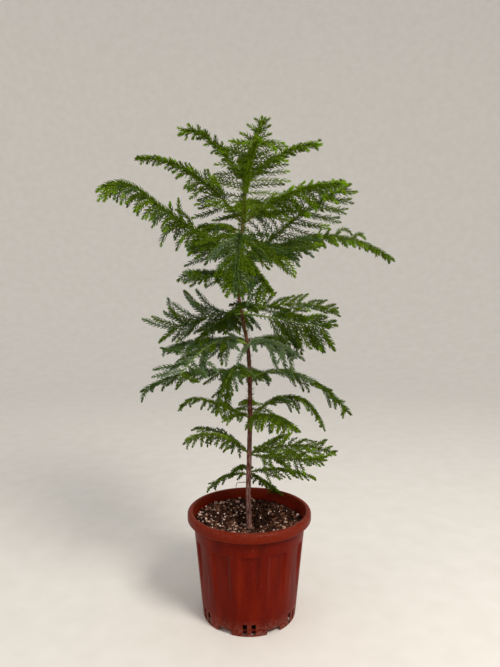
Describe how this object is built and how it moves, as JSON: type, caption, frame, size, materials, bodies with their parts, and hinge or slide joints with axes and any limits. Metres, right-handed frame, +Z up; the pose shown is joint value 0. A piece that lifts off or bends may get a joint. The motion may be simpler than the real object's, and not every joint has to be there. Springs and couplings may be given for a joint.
{
  "type": "potted norfolk island pine",
  "caption": "Young Norfolk Island pine with a slender swaying stem and tiers of flat needled fronds, growing in a ribbed terracotta-coloured plastic nursery pot.",
  "frame": {"origin": "middle of the pot's underside, on the surface that the pot stands on", "axes": "+Z up along the stem, +X to the right and -Y to the front of the picture's view"},
  "size_m": [0.5794, 0.3383, 0.9896],
  "materials": {
    "pot_plastic": "satin",
    "potting_mix": "matte",
    "stem_bark": "matte",
    "bough_bark": "matte",
    "low_needles": "matte",
    "middle_needles": "matte",
    "top_needles": "matte"
  },
  "bodies": {
    "root": {"pot": "pot_plastic", "potting_mix": "potting_mix", "trunk": "stem_bark", "tier_7_bough_1": "bough_bark", "tier_7_bough_2": "bough_bark", "tier_7_bough_3": "bough_bark", "tier_7_bough_4": "bough_bark", "tier_7_bough_5": "bough_bark", "tier_7_bough_6": "bough_bark", "tier_7_bough_7": "bough_bark", "tier_7_bough_8": "bough_bark", "tier_7_bough_9": "bough_bark", "tier_1_frond_1": "low_needles", "tier_1_frond_2": "low_needles", "tier_1_frond_3": "low_needles", "tier_1_frond_4": "low_needles", "tier_2_frond_1": "low_needles", "tier_2_frond_2": "low_needles", "tier_2_frond_3": "low_needles", "tier_2_frond_4": "low_needles", "tier_2_frond_5": "low_needles", "tier_3_frond_1": "low_needles", "tier_3_frond_2": "low_needles", "tier_3_frond_3": "low_needles", "tier_3_frond_4": "low_needles", "tier_3_frond_5": "low_needles", "tier_4_frond_1": "middle_needles", "tier_4_frond_2": "middle_needles", "tier_4_frond_3": "middle_needles", "tier_4_frond_4": "middle_needles", "tier_5_frond_1": "middle_needles", "tier_5_frond_2": "middle_needles", "tier_5_frond_3": "middle_needles", "tier_5_frond_4": "middle_needles", "tier_5_frond_5": "middle_needles", "tier_6_frond_1": "middle_needles", "tier_6_frond_2": "middle_needles", "tier_6_frond_3": "middle_needles", "tier_6_frond_4": "middle_needles", "tier_6_frond_5": "middle_needles", "tier_6_frond_6": "middle_needles", "tier_7_frond_1": "top_needles", "tier_7_frond_2": "top_needles", "tier_7_frond_3": "top_needles", "tier_7_frond_4": "top_needles", "tier_7_frond_5": "top_needles", "tier_7_frond_6": "top_needles", "tier_7_frond_7": "top_needles", "tier_7_frond_8": "top_needles", "tier_7_frond_9": "top_needles", "tier_8_frond_1": "top_needles", "tier_8_frond_2": "top_needles", "tier_8_frond_3": "top_needles", "tier_8_frond_4": "top_needles", "tier_8_frond_5": "top_needles", "tier_9_frond_1": "top_needles", "tier_9_frond_2": "top_needles", "tier_9_frond_3": "top_needles", "tier_9_frond_4": "top_needles", "leader_tuft": "top_needles"}
  },
  "joints": []
}
